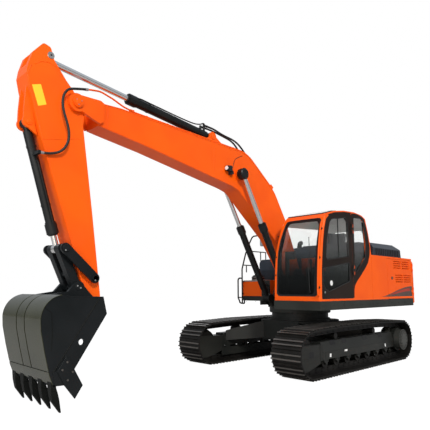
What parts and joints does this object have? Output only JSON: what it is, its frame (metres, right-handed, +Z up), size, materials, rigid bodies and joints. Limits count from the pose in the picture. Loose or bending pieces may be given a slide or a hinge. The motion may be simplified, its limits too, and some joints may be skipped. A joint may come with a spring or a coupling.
{
  "type": "crawler excavator",
  "caption": "Crawler excavator with a swinging house, side cab, jointed boom and arm on hydraulic cylinders, linked toothed bucket and steel-shoe tracks.",
  "frame": {"origin": "on the floor at the middle of the bounding box", "axes": "+X towards the bucket, +Y to the cab's side, +Z up"},
  "size_m": [9.255, 2.99, 4.8347],
  "materials": {
    "orange_paint": "glossy orange enamel",
    "dark_blue_paint": "satin blue-black enamel",
    "dark_paint": "satin dark grey enamel",
    "bucket_paint": "satin near-black enamel",
    "black_paint": "gloss black enamel",
    "dark_steel": "satin dark grey enamel",
    "track_steel": "worn dark steel",
    "chrome": "polished hard chrome",
    "black_fabric": "woven",
    "tinted_glass": "clear, lightly tinted",
    "white_plastic": "smooth",
    "dark_plastic": "satin",
    "black_rubber": "matt"
  },
  "bodies": {
    "undercarriage": {"car_body": "dark_steel", "swing_bearing": "dark_steel", "track_frame_left": "dark_steel", "track_frame_right": "dark_steel", "track_left": "track_steel", "track_right": "track_steel", "idlers": "track_steel", "sprockets": "track_steel", "lower_rollers": "track_steel", "carrier_rollers": "track_steel"},
    "house": {"deck": "dark_paint", "boom_bracket": "dark_paint", "counterweight": "orange_paint", "engine": "dark_steel", "body_panels": "orange_paint", "fuel_tank": "dark_blue_paint", "tool_box": "orange_paint", "air_cleaner": "dark_paint", "handrails": "dark_steel", "exhaust": "dark_steel", "cab_shell": "orange_paint", "cab_glass": "tinted_glass", "roof_hatch": "white_plastic", "seat": "black_fabric", "controls": "dark_plastic"},
    "left_door": {"left_door": "orange_paint"},
    "right_door": {"right_door": "orange_paint"},
    "engine_hood": {"engine_hood": "dark_blue_paint"},
    "cab_door": {"cab_door": "dark_paint", "door_glass": "tinted_glass"},
    "boom": {"boom": "orange_paint", "boom_pipes": "orange_paint", "work_light": "dark_plastic", "arm_hose": "black_rubber", "cylinder_hose_near": "black_rubber", "cylinder_hose_far": "black_rubber"},
    "boom_barrels": {"boom_cylinder_barrel": "black_paint"},
    "boom_rods": {"boom_cylinder_rod": "chrome"},
    "arm_barrel": {"arm_cylinder_barrel": "black_paint"},
    "arm_rod": {"arm_cylinder_rod": "chrome"},
    "arm": {"arm": "orange_paint"},
    "bucket_barrel": {"bucket_cylinder_barrel": "black_paint"},
    "bucket_rod": {"bucket_cylinder_rod": "chrome"},
    "side_links": {"side_links": "dark_paint"},
    "bucket_link": {"bucket_link": "dark_paint"},
    "bucket": {"bucket": "bucket_paint", "bucket_teeth": "bucket_paint"}
  },
  "joints": [
    {"name": "swing", "type": "hinge", "parent": "undercarriage", "child": "house", "pos_m": [-1.6775, 0, 1.04], "axis": [0, 0, 1], "continuous": true},
    {"name": "boom_lift", "type": "hinge", "parent": "house", "child": "boom", "pos_m": [-1.3575, 0, 1.8], "axis": [0, -1, 0], "range_deg": [-74, 36]},
    {"name": "arm_dig", "type": "hinge", "parent": "boom", "child": "arm", "pos_m": [3.9075, 0, 4.13], "axis": [0, 1, 0], "range_deg": [-98, 28], "deforming": ["arm_hose", "cylinder_hose_near", "cylinder_hose_far"]},
    {"name": "bucket_curl", "type": "hinge", "parent": "arm", "child": "bucket", "pos_m": [3.5375, 0, 1.243], "axis": [0, 1, 0], "range_deg": [-2, 160], "deforming": ["arm_hose"]},
    {"name": "cab_door_swing", "type": "hinge", "parent": "house", "child": "cab_door", "pos_m": [-1.5275, 1.382, 2.1], "axis": [0, 0, 1], "range_deg": [0, 165]},
    {"name": "left_door_swing", "type": "hinge", "parent": "house", "child": "left_door", "pos_m": [-4.3615, 1.382, 1.76], "axis": [0, 0, 1], "range_deg": [0, 110]},
    {"name": "right_door_swing", "type": "hinge", "parent": "house", "child": "right_door", "pos_m": [-4.3615, -1.382, 1.76], "axis": [0, 0, -1], "range_deg": [0, 110]},
    {"name": "engine_hood_lift", "type": "hinge", "parent": "house", "child": "engine_hood", "pos_m": [-2.6755, 0, 2.2573], "axis": [0, 1, 0], "range_deg": [0, 60]},
    {"name": "boom_barrel_swing", "type": "hinge", "parent": "house", "child": "boom_barrels", "pos_m": [-0.9175, 0, 1.34], "axis": [0, -1, 0], "range_deg": [-77.33, 37.63]},
    {"name": "boom_rod_slide", "type": "slide", "parent": "boom_barrels", "child": "boom_rods", "axis": [0.5118, 0, 0.8591], "range_m": [-0.7509, 0.3654]},
    {"name": "arm_barrel_swing", "type": "hinge", "parent": "boom", "child": "arm_barrel", "pos_m": [1.0925, 0, 4.327], "axis": [0, 1, 0], "range_deg": [-2.25, 0.65]},
    {"name": "arm_rod_slide", "type": "slide", "parent": "arm_barrel", "child": "arm_rod", "axis": [0.9933, 0, 0.1152], "range_m": [-1.0745, 0.3071]},
    {"name": "bucket_barrel_swing", "type": "hinge", "parent": "arm", "child": "bucket_barrel", "pos_m": [4.5415, 0, 3.721], "axis": [0, 1, 0], "range_deg": [-7.82, 0.11]},
    {"name": "bucket_rod_slide", "type": "slide", "parent": "bucket_barrel", "child": "bucket_rod", "axis": [-0.2942, 0, -0.9557], "range_m": [-0.0123, 0.9733]},
    {"name": "side_links_swing", "type": "hinge", "parent": "arm", "child": "side_links", "pos_m": [3.5845, 0, 1.68], "axis": [0, 1, 0], "range_deg": [-1.35, 107.13]},
    {"name": "bucket_link_swing", "type": "hinge", "parent": "bucket", "child": "bucket_link", "pos_m": [3.8015, 0, 1.56], "axis": [0, 1, 0], "range_deg": [-139.39, 1.76]}
  ],
  "couplings": [
    {"joint": "boom_barrel_swing", "follows": "boom_lift", "ratio": 1.0448},
    {"joint": "boom_rod_slide", "follows": "boom_lift", "m_per_rad": 0.5813},
    {"joint": "arm_barrel_swing", "follows": "arm_dig", "ratio": 0.0228},
    {"joint": "arm_rod_slide", "follows": "arm_dig", "m_per_rad": 0.6281},
    {"joint": "bucket_barrel_swing", "follows": "bucket_curl", "ratio": -0.0488},
    {"joint": "bucket_rod_slide", "follows": "bucket_curl", "m_per_rad": 0.3485},
    {"joint": "side_links_swing", "follows": "bucket_curl", "ratio": 0.6695},
    {"joint": "bucket_link_swing", "follows": "bucket_curl", "ratio": -0.8711}
  ]
}
